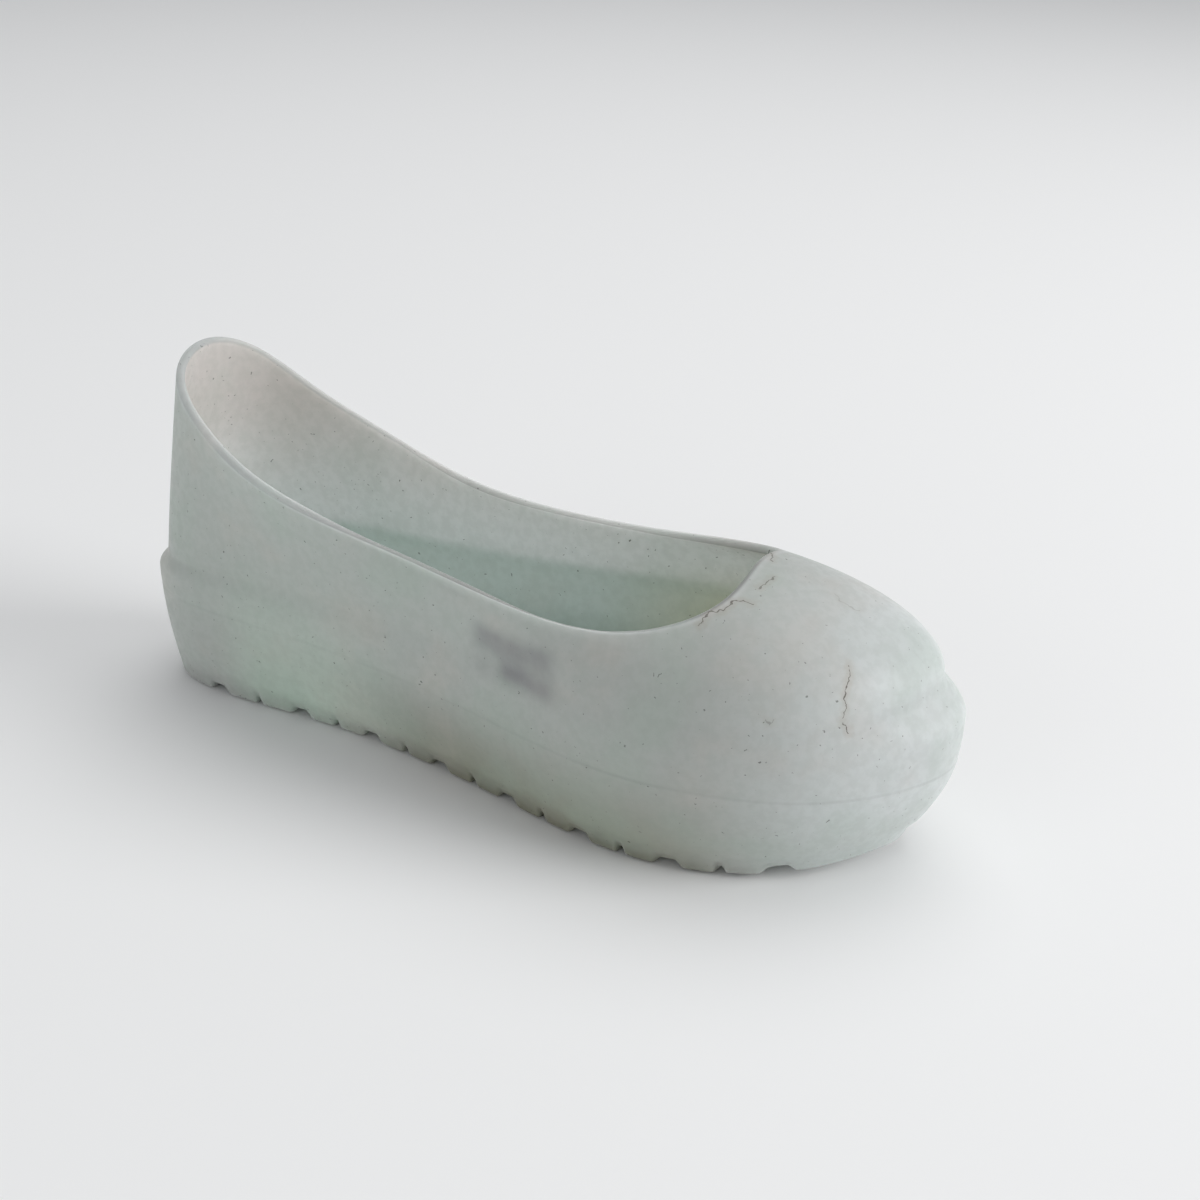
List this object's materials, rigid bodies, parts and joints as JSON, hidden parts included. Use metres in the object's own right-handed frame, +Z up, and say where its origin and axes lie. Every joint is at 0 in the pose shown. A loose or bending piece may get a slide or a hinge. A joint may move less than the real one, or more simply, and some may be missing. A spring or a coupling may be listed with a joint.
{
  "type": "rubber overshoe",
  "caption": "Low-cut slip-on rubber overshoe: a hollow one-piece moulding with an open collar, a stepped belt that takes a shoe's sole, and a lugged tread.",
  "frame": {"origin": "on the ground, under the middle of the bounding box", "axes": "+X from the heel to the toe, +Y towards the medial side, +Z up"},
  "size_m": [0.305, 0.107, 0.1292],
  "materials": {
    "silicone_rubber": "satin, milky and slightly translucent, with specks and hairline cracks from wear"
  },
  "bodies": {
    "root": {"overshoe": "silicone_rubber"}
  },
  "joints": []
}
